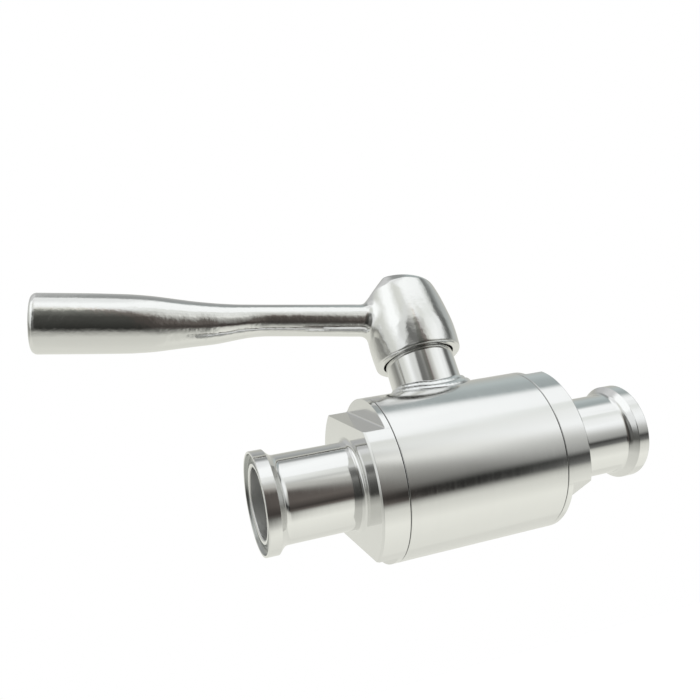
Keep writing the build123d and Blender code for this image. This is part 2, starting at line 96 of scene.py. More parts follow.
# Turn of each cap's flats about the pipe axis, in degrees.
FLATS_ANGLE = {"inlet": 29.3, "outlet": -5.5}
CUTTER_PAST_FACE = 3.0
CUTTER_PAST_RIM = 5.0
GROOVE_SLOPE = 0.7
GROOVE_FLOOR_RADIUS = 1.6
BORE_EDGE_RADIUS = 0.9
FACE_TOLERANCE = 0.05
GROOVE_TOLERANCE = 0.1
# Extra roughness on the face round the tube and in the bore, and where it fades in and out.
ROOT_SATIN = 0.03
ROOT_SATIN_START = (-0.6, -0.2)
ROOT_SATIN_END = (0.5, 3.0)
BORE_SATIN = 0.36
BORE_SATIN_DEPTH = 0.8

# The three materials of a cap, in the order of its material slots: turned steel, milled steel, and in the
# gasket groove a darker steel whose colour is painted shade.
CAP_FINISHES = ("turned", "milled", "groove")

# ---- barrel ----
BARREL_BORE = 33.5
GASKET_POCKET = 36.5
SEAM_GAP = 0.3
SEAM_FLOOR_RADIUS = 38.0
GASKET_DEPTH = 2.0
STEM_HOLE = 8.06
COLLAR_POCKET = 12.2
COLLAR_POCKET_TOP = 34.0

# ---- weld at the neck's foot ----
WELD_REACH = 4.3
WELD_RISE = 4.0
WELD_SINK = 0.05
WELD_PASS_HEIGHT = 0.6
WELD_RIPPLES = 62
WELD_RIPPLE_HEIGHT = 0.09
WELD_RIPPLE_BEND = 0.8
UPPER_PASS_LAG = 1.5
# Waves that make the weld's edge uneven: share of its width, waves in one turn, start.
WELD_WAVES = [(0.05, 5, 0.7), (0.03, 11, 0.0)]

# ---- lever casting ----
LEVER_TILT = math.radians(8.1)
LEVER_AXIS_HEIGHT = 84.4
LEVER_LENGTH = 194.7
GRIP_END_ROUND = 3.0
HUB_BELLY = (24.1, 71.0)
HUB_SKIRT_CURVE = 0.0048
HUB_KINK = (23.75, 79.4)
HUB_SHOULDER = (21.1, 99.3)
HUB_CROWN = (14.4, 108.5)
HUB_TOP_HEIGHT = 104.5
HUB_TOP_SLANT = math.radians(16.0)
HUB_BEVEL_START = -10.3
HUB_BEVEL_ANGLE = math.radians(41.5)
HUB_CAVITY_RADIUS = 19.4
HUB_CAVITY_TOP = 79.6
STEM_HOLE_IN_LEVER = 7.05
STEM_FLATS_IN_LEVER = 10.1
STEM_HOLE_TOP = 93.5
SCREW_HOLE = 4.3
SCREW_POCKET = 7.4
SCREW_SEAT = 95.5
# Sections of the lever: distance from the stem axis, drop of the section's centre, radius.
LEVER_SECTIONS = [
    (0, 0.0, 8.9),
    (32, 0.0, 8.8),
    (50, 0.0, 8.6),
    (80, 0.05, 8.4),
    (88, 0.45, 8.75),
    (95, 1.2, 9.4),
    (105, 2.1, 10.65),
    (116, 2.25, 11.7),
    (126, 2.25, 12.95),
    (136, 2.25, 14.25),
    (147, 2.15, 15.0),
    (165, 2.0, 15.2),
    (200, 1.95, 15.15),
]
SECTION_SMOOTHING = 2.4
LEVER_GRID = 0.6
GRID_MARGIN = 2.0
FIELD_BAND = 3.0
# Widths over which the casting's faces run into each other.
ROD_BLEND = 5.0
RIM_BLEND = 1.4
TOP_BLEND = 1.0
KINK_BLEND = 0.5
CAVITY_BLEND = 1.0
POCKET_BLEND = 0.6

# ---- the room round the valve ----
# The valve lies rolled back about its pipe axis, so the table it is lit on leans in the valve's frame.
ROLL_BACK = math.radians(47.5)
TABLE_UP = Vector((0, -math.sin(ROLL_BACK), math.cos(ROLL_BACK)))
TABLE_BACK = Vector((0, math.cos(ROLL_BACK), math.sin(ROLL_BACK)))
# The floor, the lamp and the camera are placed in metres.
FLOOR_HEIGHT = -0.16
FLOOR_RADIUS = 1.6
FLOOR_COLOR = (0.93, 0.93, 0.925)
FLOOR_ROUGHNESS = 0.7
FLOOR_GLOW = 0.38
SOFTBOX_SIZE = 1.2
SOFTBOX_POWER = 9.0
SOFTBOX_PLACE = (-0.2, -0.5, 1.2)
CAMERA_PLACE = (-0.16675, -0.3557, -0.0790)
CAMERA_RIGHT = (0.9385, -0.2331, -0.2546)
CAMERA_FORWARD = (0.3188, 0.8728, 0.3697)
CAMERA_LENS = 39.04
CAMERA_FILM = 36
CAMERA_NEAR = 0.01


# ------------------------------------------------------------------ mesh helpers

def rounded(corners, steps):
    """Closed outline through (a, b, radius) corners, with an arc in place of each corner."""
    outline = []
    count = len(corners)
    for i, (a, b, radius) in enumerate(corners):
        here = Vector((a, b))
        before = Vector(corners[i - 1][:2])
        after = Vector(corners[(i + 1) % count][:2])
        if radius == 0:
            outline.append(tuple(here))
            continue
        to_before = (before - here).normalized()
        to_after = (after - here).normalized()
        half = to_before.angle(to_after) / 2
        reach = radius / math.tan(half)
        centre = here + (to_before + to_after).normalized() * radius / math.sin(half)
        start = here + to_before * reach - centre
        turn = start.angle_signed(here + to_after * reach - centre)
        for k in range(steps + 1):
            angle = -turn * k / steps
            spun = Matrix.Rotation(angle, 2) @ start
            outline.append(tuple(centre + spun))
    return outline


def lathe(outline, segments=288):
    """Closed outline of (along, radius) points spun about the X axis; returns a bmesh in metres."""
    bm = bmesh.new()
    rings = []
    for along, radius in outline:
        ring = []
        for k in range(segments):
            angle = 2 * math.pi * k / segments
            across = radius * math.cos(angle)
            up = radius * math.sin(angle)
            ring.append(bm.verts.new(Vector((along, across, up)) * MM))
        rings.append(ring)
    for i, ring in enumerate(rings):
        after = rings[(i + 1) % len(rings)]
        for k in range(segments):
            following = (k + 1) % segments
            bm.faces.new((ring[k], ring[following], after[following], after[k]))
    bmesh.ops.recalc_face_normals(bm, faces=bm.faces)
    return bm


def bmesh_object(name, bm):
    """New object from a bmesh, shaded smooth."""
    mesh = bpy.data.meshes.new(name)
    bm.to_mesh(mesh)
    bm.free()
    for polygon in mesh.polygons:
        polygon.use_smooth = True
    piece = bpy.data.objects.new(name, mesh)
    bpy.context.scene.collection.objects.link(piece)
    return piece


def flat_cutter(end, turn):
    """Block that mills one wrench flat, its inner corner rounded, turned about the X axis."""
    floor_height = FLATS_ACROSS / 2
    outline = rounded([
        (FLATS_START, floor_height, FLATS_CORNER_RADIUS),
        (CAP_FACE + CUTTER_PAST_FACE, floor_height, 0),
        (CAP_FACE + CUTTER_PAST_FACE, BARREL_RADIUS + CUTTER_PAST_RIM, 0),
        (FLATS_START, BARREL_RADIUS + CUTTER_PAST_RIM, 0),
    ], steps=8)
    bm = bmesh.new()
    near_side = [bm.verts.new(Vector((end * a, -BARREL_RADIUS, b)) * MM) for a, b in outline]
    far_side = [bm.verts.new(Vector((end * a, BARREL_RADIUS, b)) * MM) for a, b in outline]
    bm.faces.new(near_side)
    bm.faces.new(far_side)
    for i, vertex in enumerate(near_side):
        following = (i + 1) % len(outline)
        bm.faces.new((vertex, near_side[following], far_side[following], far_side[i]))
    bmesh.ops.recalc_face_normals(bm, faces=bm.faces)
    bm.transform(Matrix.Rotation(turn, 4, "X"))
    return bmesh_object("cutter", bm)


def round_cutter(radius, low, high, segments=160):
    """Round bar on the stem axis, for cutting."""
    bm = bmesh.new()
    size = {"radius1": radius * MM, "radius2": radius * MM, "depth": (high - low) * MM}
    bmesh.ops.create_cone(bm, cap_ends=True, segments=segments, **size)
    bm.transform(Matrix.Translation((0, 0, (low + high) / 2 * MM)))
    return bmesh_object("cutter", bm)


def finished(piece, cutters):
    """Cut the piece, break its sharp edges, weight its normals, and keep the result as plain mesh."""
    for cutter in cutters:
        cut = piece.modifiers.new("cut", "BOOLEAN")
        cut.operation = "DIFFERENCE"
        cut.solver = "EXACT"
        cut.object = cutter
    bevel = piece.modifiers.new("edges", "BEVEL")
    bevel.width = CORNER_BREAK * MM
    bevel.segments = 2
    bevel.limit_method = "ANGLE"
    bevel.angle_limit = SHARP_ANGLE
    bevel.use_clamp_overlap = True
    weight = piece.modifiers.new("normals", "WEIGHTED_NORMAL")
    weight.mode = "FACE_AREA"
    weight.weight = LARGE_FACE_WEIGHT
    graph = bpy.context.evaluated_depsgraph_get()
    mesh = bpy.data.meshes.new_from_object(piece.evaluated_get(graph))
    piece.modifiers.clear()
    piece.data = mesh
    for cutter in cutters:
        bpy.data.objects.remove(cutter)
    return piece


def place(piece, body, nodes, slot, *materials):
    """Finish a piece: its materials, its body and the nodes it stands for. The slot argument is not used.
    """
    kept = [polygon.material_index for polygon in piece.data.polygons]
    piece.data.materials.clear()
    for material in materials:
        piece.data.materials.append(material)
    piece.data.polygons.foreach_set("material_index", kept)
    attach(piece, body)
    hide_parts(*nodes)


# ------------------------------------------------------------------ machined pieces

def cap_outline():
    """Outline of the outlet cap with its machined edges broken."""
    clamp_back = PIPE_END - CLAMP_RIM
    tube_end = clamp_back - CLAMP_BEVEL
    land = PIPE_END - LAND_RECESS
    groove_floor = PIPE_END - GROOVE_DEPTH
    return rounded([
        (CAP_SPIGOT_END, SEAT_POCKET_RADIUS, 0),
        (CAP_SPIGOT_END, CAP_SPIGOT_RADIUS, 0),
        (BARREL_HALF, CAP_SPIGOT_RADIUS, 0),
        (BARREL_HALF, SEAM_FLOOR_RADIUS, 0),
        (BARREL_HALF + SEAM_GAP, SEAM_FLOOR_RADIUS, 0),
        (BARREL_HALF + SEAM_GAP, BARREL_RADIUS, EDGE_BREAK),
        (CAP_FACE - CAP_EDGE, BARREL_RADIUS, CORNER_BREAK),
        (CAP_FACE, BARREL_RADIUS - CAP_EDGE, CORNER_BREAK),
        (CAP_FACE, TUBE_RADIUS, CAP_ROOT_FILLET),
        (tube_end, TUBE_RADIUS, CLAMP_ROOT_FILLET),
        (clamp_back, CLAMP_RADIUS - EDGE_BREAK, CLAMP_BACK_ROUND),
        (clamp_back + EDGE_BREAK, CLAMP_RADIUS, CLAMP_RIM_ROUND),
        (PIPE_END, CLAMP_RADIUS, CLAMP_FACE_ROUND),
        (PIPE_END, GROOVE_OUTER, CORNER_BREAK),
        (groove_floor, GROOVE_OUTER - GROOVE_SLOPE, GROOVE_FLOOR_RADIUS),
        (groove_floor, GROOVE_INNER + GROOVE_SLOPE, GROOVE_FLOOR_RADIUS),
        (land, GROOVE_INNER, CORNER_BREAK),
        (land, BORE_RADIUS, BORE_EDGE_RADIUS),
        (SEAT_BACK, BORE_RADIUS, 0),
        (SEAT_BACK, SEAT_POCKET_RADIUS, 0),
    ], steps=6)


def end_cap(side):
    """Cap with its two wrench flats, at the inlet or the outlet end."""
    end = -1 if side == "inlet" else 1
    outline = [(end * along, radius) for along, radius in cap_outline()]
    piece = bmesh_object("cap_" + side, lathe(outline))
    turn = math.radians(FLATS_ANGLE[side])
    finished(piece, [flat_cutter(end, turn + half_turn) for half_turn in (0, math.pi)])
    flat_way = Vector((0, -math.sin(turn), math.cos(turn)))
    for polygon in piece.data.polygons:
        along = abs(polygon.center.x) / MM
        radius = polygon.center.yz.length / MM
        from_axis = abs(polygon.center.dot(flat_way)) / MM
        on_flat = abs(from_axis - FLATS_ACROSS / 2) < FACE_TOLERANCE
        on_shoulder = abs(along - FLATS_START) < FACE_TOLERANCE
        in_groove = GROOVE_INNER < radius < GROOVE_OUTER
        # The gasket groove gets the darker steel, a painted shade of the recess.
        if in_groove and 2 * GROOVE_TOLERANCE < PIPE_END - along < GROOVE_DEPTH + GROOVE_TOLERANCE:
            polygon.material_index = CAP_FINISHES.index("groove")
        elif on_flat or on_shoulder:
            polygon.material_index = CAP_FINISHES.index("milled")
        else:
            polygon.material_index = CAP_FINISHES.index("turned")
    return piece


def barrel():
    """Turned middle body with the stem opening on top."""
    recess = BARREL_HALF - GASKET_DEPTH
    half = [
        (BARREL_HALF, GASKET_POCKET, 0),
        (BARREL_HALF, BARREL_RADIUS, EDGE_BREAK),
    ]
    other = [(-a, b, radius) for a, b, radius in reversed(half)]
    inner = [
        (-recess, GASKET_POCKET, 0),
        (-recess, BARREL_BORE, 0),
        (recess, BARREL_BORE, 0),
        (recess, GASKET_POCKET, 0),
    ]
    piece = bmesh_object("barrel_sleeve", lathe(rounded(half + other + inner, steps=6)))
    hole = round_cutter(STEM_HOLE, 0, 2 * BARREL_RADIUS)
    pocket = round_cutter(COLLAR_POCKET, 0, COLLAR_POCKET_TOP)
    return finished(piece, (hole, pocket))


def weld_bead(segments=744, steps=18):
    """Two-pass fillet weld along the curve where the neck meets the barrel."""
    bm = bmesh.new()
    rings = []
    root = NECK_RADIUS - WELD_SINK
    slant = Vector((WELD_RISE, WELD_REACH)).normalized()
    for k in range(segments):
        turn = 2 * math.pi * k / segments
        wander = sum(share * math.sin(waves * turn + start) for share, waves, start in WELD_WAVES)
        ring = []
        for step in range(steps + 1):
            share = step / steps
            weld_pass = abs(math.sin(2 * math.pi * share))
            lag = UPPER_PASS_LAG if share < 0.5 else 0.0
            ripple = abs(math.sin(WELD_RIPPLES * turn / 2 + lag + WELD_RIPPLE_BEND * weld_pass)) - 0.5
            swell = WELD_PASS_HEIGHT * math.sqrt(weld_pass) + WELD_RIPPLE_HEIGHT * ripple * weld_pass
            reach = WELD_REACH * (share + wander * share) + swell * slant.x
            height = WELD_RISE * (1 - share) * (1 + wander) + swell * slant.y
            ring.append(on_barrel(root + reach, turn, height - WELD_SINK))
        ring.append(on_barrel(root, turn, -WELD_SINK))
        rings.append([bm.verts.new(point) for point in ring])
    for k, ring in enumerate(rings):
        after = rings[(k + 1) % segments]
        for j in range(len(ring)):
            following = (j + 1) % len(ring)
            bm.faces.new((ring[j], ring[following], after[following], after[j]))
    bmesh.ops.recalc_face_normals(bm, faces=bm.faces)
    return bmesh_object("neck_weld", bm)


def on_barrel(radius, turn, height):
    """Point at a radius and turn about the stem, a height above the barrel's surface, in metres."""
    across = radius * math.sin(turn)
    surface = math.sqrt(BARREL_RADIUS ** 2 - across ** 2)
    return Vector((radius * math.cos(turn), across, surface + height)) * MM


# ------------------------------------------------------------------ the lever, as one smooth casting

def smooth_max(a, b, blend):
    """Larger of two distances, with the corner rounded over the blend width."""
    share = np.clip(0.5 + 0.5 * (a - b) / blend, 0, 1)
    return b + (a - b) * share + blend * share * (1 - share)


def smooth_min(a, b, blend):
    """Smaller of two distances, with the corner filled over the blend width."""
    return -smooth_max(-a, -b, blend)


def section_curves(step=0.25, margin=10, widths=4):
    """Drop and radius of the lever along its length, softened so that no section shows as a line."""
    reach = int(widths * SECTION_SMOOTHING / step)
    along = np.arange(-margin, LEVER_LENGTH + margin, step)
    distance, drop, radius = zip(*LEVER_SECTIONS)
    kernel = np.exp(-0.5 * (np.arange(-reach, reach + 1) * step / SECTION_SMOOTHING) ** 2)
    kernel /= kernel.sum()
    curves = []
    for values in (drop, radius):
        raw = np.interp(along, distance, values)
        padded = np.pad(raw, reach, mode="edge")
        curves.append(np.convolve(padded, kernel, mode="valid"))
    return along, curves[0], curves[1]


SECTION_ALONG, SECTION_DROP, SECTION_RADIUS = section_curves()


def bar_distance(x, y, z):
    """Distance to the rod and grip."""
    along = -x * math.cos(LEVER_TILT) + (z - LEVER_AXIS_HEIGHT) * math.sin(LEVER_TILT)
    down = -x * math.sin(LEVER_TILT) - (z - LEVER_AXIS_HEIGHT) * math.cos(LEVER_TILT)
    drop = np.interp(along, SECTION_ALONG, SECTION_DROP)
    radius = np.interp(along, SECTION_ALONG, SECTION_RADIUS)
    side = np.hypot(down - drop, y) - radius
    inner_side = side + GRIP_END_ROUND
    inner_end = along - LEVER_LENGTH + GRIP_END_ROUND
    corner = np.hypot(np.maximum(inner_side, 0), np.maximum(inner_end, 0))
    bar = corner + np.minimum(np.maximum(inner_side, inner_end), 0) - GRIP_END_ROUND
    return np.maximum(bar, -along)


def hub_distance(x, y, z):
    """Distance to the hub before it is hollowed."""
    r = np.hypot(x, y)
    skirt = r - HUB_BELLY[0] + HUB_SKIRT_CURVE * (z - HUB_BELLY[1]) ** 2
    cone = slope_distance(r, z, HUB_KINK, HUB_SHOULDER)
    crown = slope_distance(r, z, HUB_SHOULDER, HUB_CROWN)
    top = (z - HUB_TOP_HEIGHT) * math.cos(HUB_TOP_SLANT) + x * math.sin(HUB_TOP_SLANT)
    bevel_height = HUB_TOP_HEIGHT - HUB_BEVEL_START * math.tan(HUB_TOP_SLANT)
    bevel_rise = (z - bevel_height) * math.cos(HUB_BEVEL_ANGLE)
    bevel = bevel_rise - (x - HUB_BEVEL_START) * math.sin(HUB_BEVEL_ANGLE)
    hub = smooth_max(skirt, cone, KINK_BLEND)
    hub = smooth_max(hub, HUB_RIM_HEIGHT - z, RIM_BLEND)
    hub = smooth_max(hub, crown, KINK_BLEND)
    hub = smooth_max(hub, bevel, TOP_BLEND)
    return smooth_max(hub, top, TOP_BLEND)


def slope_distance(r, z, low, high):
    """Distance outside the cone that passes through two (radius, height) points."""
    direction = Vector((high[0] - low[0], high[1] - low[1])).normalized()
    return (r - low[0]) * direction.y - (z - low[1]) * direction.x


def lever_distance(points):
    """Distance from points (n, 3) in millimetres to the lever's surface, negative inside."""
    x, y, z = points[:, 0], points[:, 1], points[:, 2]
    r = np.hypot(x, y)
    body = smooth_min(hub_distance(x, y, z), bar_distance(x, y, z), ROD_BLEND)
    cavity = np.maximum(r - HUB_CAVITY_RADIUS, z - HUB_CAVITY_TOP)
    double_d = np.maximum(r - STEM_HOLE_IN_LEVER, abs(x) - STEM_FLATS_IN_LEVER / 2)
    stem_hole = np.maximum(double_d, z - STEM_HOLE_TOP)
    pocket = np.maximum(r - SCREW_POCKET, SCREW_SEAT - z)
    body = smooth_max(body, -cavity, CAVITY_BLEND)
    body = np.maximum(body, -stem_hole)
    body = np.maximum(body, SCREW_HOLE - r)
    return smooth_max(body, -pocket, POCKET_BLEND)


def settle(points, passes=4, probe=0.02, least_slope=0.2, longest_move=0.3):
    """Move points along the gradient until they lie on the lever's surface."""
    for _ in range(passes):
        value = lever_distance(points)
        slope = np.empty_like(points)
        for axis in range(3):
            offset = np.zeros(3)
            offset[axis] = probe
            rise = lever_distance(points + offset) - lever_distance(points - offset)
            slope[:, axis] = rise / (2 * probe)
        steep = np.maximum((slope ** 2).sum(1), least_slope)
        move = slope * (value / steep)[:, None]
        length = np.linalg.norm(move, axis=1)
        kept = longest_move / np.maximum(length, longest_move)
        points = points - move * kept[:, None]
    return points


def handle_lever():
    """Lever casting: its distance field is turned into quads, and each vertex is put on the surface."""
    low = np.array(lever_low) / MM - GRID_MARGIN
    high = np.array(lever_high) / MM + GRID_MARGIN
    counts = np.ceil((high - low) / LEVER_GRID).astype(int) + 1
    field = np.empty(counts, np.float32)
    y, z = np.meshgrid(*(low[i] + LEVER_GRID * np.arange(counts[i]) for i in (1, 2)), indexing="ij")
    for i in range(counts[0]):
        x = np.full(y.size, low[0] + LEVER_GRID * i)
        plane = np.column_stack((x, y.ravel(), z.ravel()))
        field[i] = lever_distance(plane).reshape(y.shape)
    grid = openvdb.FloatGrid(FIELD_BAND)
    grid.copyFromArray(np.clip(field, -FIELD_BAND, FIELD_BAND))
    points, quads = grid.convertToQuads(0.0)
    points = settle(low + np.asarray(points, float) * LEVER_GRID)
    mesh = bpy.data.meshes.new("lever_casting")
    mesh.from_pydata([tuple(p) for p in points * MM], [], [tuple(map(int, q)) for q in quads])
    mesh.update()
    bm = bmesh.new()
    bm.from_mesh(mesh)
    bpy.data.meshes.remove(mesh)
    bmesh.ops.recalc_face_normals(bm, faces=bm.faces)
    return bmesh_object("lever_casting", bm)


# ------------------------------------------------------------------ materials

# Middle part of a noise texture's 0-1 values, which is stretched to the range that is wanted.
NOISE_RANGE = (0.3, 0.7)
# Turning marks are this much finer across than along.
MARKS_STRETCH = 100.0


def shader(name, color, metallic, roughness):
    """New material with its nodes; returns the material, its node tree and its principled shader."""
    material = bpy.data.materials.new(name)
    material.use_nodes = True
    tree = material.node_tree
    principled = tree.nodes["Principled BSDF"]
    principled.inputs["Base Color"].default_value = (*color, 1)
    principled.inputs["Metallic"].default_value = metallic
    principled.inputs["Roughness"].default_value = roughness
    return material, tree, principled


def node(tree, kind, **inputs):
    """New shader node; inputs are given by name with underscores for spaces."""
    made = tree.nodes.new(kind)
    for key, value in inputs.items():
        made.inputs[key.replace("_", " ")].default_value = value
    return made


def calculate(tree, operation, first, second=None, third=None):
    """Math node on sockets or numbers; returns its output."""
    made = tree.nodes.new("ShaderNodeMath")
    made.operation = operation
    for slot_number, value in enumerate((first, second, third)):
        if value is None:
            continue
        if isinstance(value, (int, float)):
            made.inputs[slot_number].default_value = value
        else:
            tree.links.new(value, made.inputs[slot_number])
    return made.outputs[0]


def noise(tree, vector, scale, detail=2.0, rough=0.5):
    """Noise texture on a vector socket; returns its value."""
    made = node(tree, "ShaderNodeTexNoise", Scale=scale, Detail=detail, Roughness=rough)
    tree.links.new(vector, made.inputs["Vector"])
    return made.outputs["Fac"]


def spread(tree, value, low, high):
    """Stretch the middle of a noise to the range low-high."""
    made = tree.nodes.new("ShaderNodeMapRange")
    made.inputs["From Min"].default_value = NOISE_RANGE[0]
    made.inputs["From Max"].default_value = NOISE_RANGE[1]
    made.inputs["To Min"].default_value = low
    made.inputs["To Max"].default_value = high
    tree.links.new(value, made.inputs["Value"])
    return made.outputs["Result"]


def bump(tree, principled, height, distance, below=None):
    """Bump on the shader's normal; several are chained through below."""
    made = node(tree, "ShaderNodeBump", Strength=1.0, Distance=distance)
    tree.links.new(height, made.inputs["Height"])
    if below is not None:
        tree.links.new(below, made.inputs["Normal"])
    tree.links.new(made.outputs["Normal"], principled.inputs["Normal"])
    return made.outputs["Normal"]


def tint(tree, principled, value, dark, light):
    """Base colour that drifts between two colours with a noise value."""
    mix = tree.nodes.new("ShaderNodeMix")
    mix.data_type = "RGBA"
    mix.inputs["A"].default_value = (*dark, 1)
    mix.inputs["B"].default_value = (*light, 1)
    tree.links.new(value, mix.inputs["Factor"])
    tree.links.new(mix.outputs["Result"], principled.inputs["Base Color"])


def lathe_coordinates(tree, axis):
    """Vector whose first part runs across the turning marks, and the others slowly along them."""
    place = tree.nodes.new("ShaderNodeTexCoord").outputs["Object"]
    split = tree.nodes.new("ShaderNodeSeparateXYZ")
    tree.links.new(place, split.inputs[0])
    along = split.outputs[axis]
    others = [split.outputs[letter] for letter in "XYZ" if letter != axis]
    squares = [calculate(tree, "POWER", other, 2.0) for other in others]
    radius = calculate(tree, "SQRT", calculate(tree, "ADD", *squares))
    across = calculate(tree, "ADD", along, radius)
    join = tree.nodes.new("ShaderNodeCombineXYZ")
    tree.links.new(calculate(tree, "MULTIPLY", across, MARKS_STRETCH), join.inputs[0])
    tree.links.new(others[0], join.inputs[1])
    tree.links.new(others[1], join.inputs[2])
    return place, join.outputs[0]


def turned_steel(name, axis="X", color=(0.80, 0.80, 0.795), roughness=0.2, marks=1.0):
    """Stainless steel with fine turning marks round an axis and a slight uneven sheen."""
    material, tree, principled = shader(name, color, metallic=1.0, roughness=roughness)
    place, lines = lathe_coordinates(tree, axis)
    fine = noise(tree, lines, scale=24.0, detail=3.0, rough=0.65)
    coarse = noise(tree, lines, scale=5.0, detail=2.0)
    cloud = noise(tree, place, scale=45.0, detail=3.0)
    shine = calculate(tree, "ADD", spread(tree, fine, -0.05, 0.05), spread(tree, cloud, -0.03, 0.03))
    tree.links.new(calculate(tree, "ADD", shine, roughness), principled.inputs["Roughness"])
    tint(tree, principled, cloud, [0.95 * part for part in color], color)
    first = bump(tree, principled, coarse, distance=0.000004 * marks)
    bump(tree, principled, fine, distance=0.0000035 * marks, below=first)
    return material


def ramped(tree, value, low, high):
    """Soft step from 0 to 1 as a value, in metres, passes from low to high, in millimetres."""
    made = tree.nodes.new("ShaderNodeMapRange")
    made.interpolation_type = "SMOOTHSTEP"
    made.inputs["From Min"].default_value = low * MM
    made.inputs["From Max"].default_value = high * MM
    tree.links.new(value, made.inputs["Value"])
    return made.outputs["Result"]


def cap_steel(name):
    """Turned steel of the end caps: bright outside, satin in the bore and on the face round the tube."""
    material = turned_steel(name, roughness=0.08, marks=0.6)
    tree = material.node_tree
    split = tree.nodes.new("ShaderNodeSeparateXYZ")
    tree.links.new(tree.nodes.new("ShaderNodeTexCoord").outputs["Object"], split.inputs[0])
    along = calculate(tree, "ABSOLUTE", split.outputs["X"])
    squares = [calculate(tree, "POWER", split.outputs[letter], 2.0) for letter in "YZ"]
    radius = calculate(tree, "SQRT", calculate(tree, "ADD", *squares))
    on_face = ramped(tree, along, *(CAP_FACE + offset for offset in ROOT_SATIN_START))
    on_tube = ramped(tree, along, *(CAP_FACE + offset for offset in ROOT_SATIN_END))
    before_tube = calculate(tree, "SUBTRACT", 1.0, on_tube)
    root = calculate(tree, "MULTIPLY", before_tube, on_face)
    outside_bore = ramped(tree, radius, BORE_RADIUS, BORE_RADIUS + BORE_SATIN_DEPTH)
    bore = calculate(tree, "SUBTRACT", 1.0, outside_bore)
    rough_root = calculate(tree, "MULTIPLY", root, ROOT_SATIN)
    rough_bore = calculate(tree, "MULTIPLY", bore, BORE_SATIN)
    principled = tree.nodes["Principled BSDF"]
    polish = principled.inputs["Roughness"].links[0].from_socket
    satin = calculate(tree, "ADD", calculate(tree, "ADD", polish, rough_root), rough_bore)
    tree.links.new(satin, principled.inputs["Roughness"])
    return material


def milled_steel(name, color=(0.78, 0.78, 0.775), roughness=0.13):
    """Wrench flats: satin steel with straight cutter marks along the pipe."""
    material, tree, principled = shader(name, color, metallic=1.0, roughness=roughness)
    place = tree.nodes.new("ShaderNodeTexCoord").outputs["Object"]
    stretch = tree.nodes.new("ShaderNodeMapping")
    stretch.inputs["Scale"].default_value = (8, 160, 160)
    tree.links.new(place, stretch.inputs["Vector"])
    marks = noise(tree, stretch.outputs["Vector"], scale=12.0, detail=3.0, rough=0.6)
    cloud = noise(tree, place, scale=60.0, detail=2.0)
    shine = calculate(tree, "ADD", spread(tree, marks, -0.04, 0.04), spread(tree, cloud, -0.02, 0.03))
    tree.links.new(calculate(tree, "ADD", shine, roughness), principled.inputs["Roughness"])
    tint(tree, principled, marks, [0.9 * part for part in color], color)
    bump(tree, principled, marks, distance=0.000005)
    return material


def polished_steel(name, axis="X", color=(0.80, 0.80, 0.79), roughness=0.07):
    """Mirror-polished stainless steel with faint polishing lines and soft waviness."""
    material, tree, principled = shader(name, color, metallic=1.0, roughness=roughness)
    place, lines = lathe_coordinates(tree, axis)
    wave = noise(tree, place, scale=55.0, detail=1.0)
    hair = noise(tree, lines, scale=30.0, detail=3.0, rough=0.7)
    smear = noise(tree, place, scale=90.0, detail=4.0)
    shine = calculate(tree, "ADD", spread(tree, hair, -0.02, 0.03), spread(tree, smear, -0.015, 0.025))
    tree.links.new(calculate(tree, "ADD", shine, roughness), principled.inputs["Roughness"])
    tint(tree, principled, smear, [0.96 * part for part in color], color)
    first = bump(tree, principled, wave, distance=0.0001)
    bump(tree, principled, hair, distance=0.000006, below=first)
    return material


def cast_steel(name, color=(0.80, 0.80, 0.79), roughness=0.09):
    """Polished casting: a mirror that is slightly uneven, with fine pits and soft smears."""
    material, tree, principled = shader(name, color, metallic=1.0, roughness=roughness)
    place = tree.nodes.new("ShaderNodeTexCoord").outputs["Object"]
    swell = noise(tree, place, scale=75.0, detail=2.0, rough=0.4)
    ripple = noise(tree, place, scale=330.0, detail=3.0)
    grain = noise(tree, place, scale=1300.0, detail=3.0, rough=0.6)
    smear = noise(tree, place, scale=120.0, detail=4.0)
    shine = calculate(tree, "ADD", spread(tree, smear, -0.02, 0.04), spread(tree, grain, -0.015, 0.015))
    tree.links.new(calculate(tree, "ADD", shine, roughness), principled.inputs["Roughness"])
    tint(tree, principled, smear, [0.95 * part for part in color], color)
    first = bump(tree, principled, swell, distance=0.0002)
    second = bump(tree, principled, ripple, distance=0.00009, below=first)
    bump(tree, principled, grain, distance=0.000014, below=second)
    return material


def weld_steel(name, color=(0.86, 0.87, 0.875), roughness=0.16):
    """Bright weld metal with small grain."""
    material, tree, principled = shader(name, color, metallic=1.0, roughness=roughness)
    place = tree.nodes.new("ShaderNodeTexCoord").outputs["Object"]
    grain = noise(tree, place, scale=700.0, detail=4.0, rough=0.6)
    cloud = noise(tree, place, scale=250.0, detail=2.0)
    tree.links.new(spread(tree, grain, roughness - 0.05, roughness + 0.1), principled.inputs["Roughness"])
    tint(tree, principled, cloud, (0.74, 0.75, 0.75), color)
    bump(tree, principled, grain, distance=0.00006)
    return material


def seal_polymer(name, color, roughness, grain_height):
    """White fluoropolymer or black rubber with a fine moulded skin."""
    material, tree, principled = shader(name, color, metallic=0.0, roughness=roughness)
    place = tree.nodes.new("ShaderNodeTexCoord").outputs["Object"]
    grain = noise(tree, place, scale=1800.0, detail=4.0)
    cloud = noise(tree, place, scale=150.0, detail=3.0)
    tree.links.new(spread(tree, grain, roughness - 0.05, roughness + 0.05), principled.inputs["Roughness"])
    tint(tree, principled, cloud, [0.92 * part for part in color], color)
    bump(tree, principled, grain, grain_height)
    return material


# ------------------------------------------------------------------ room, lights, camera

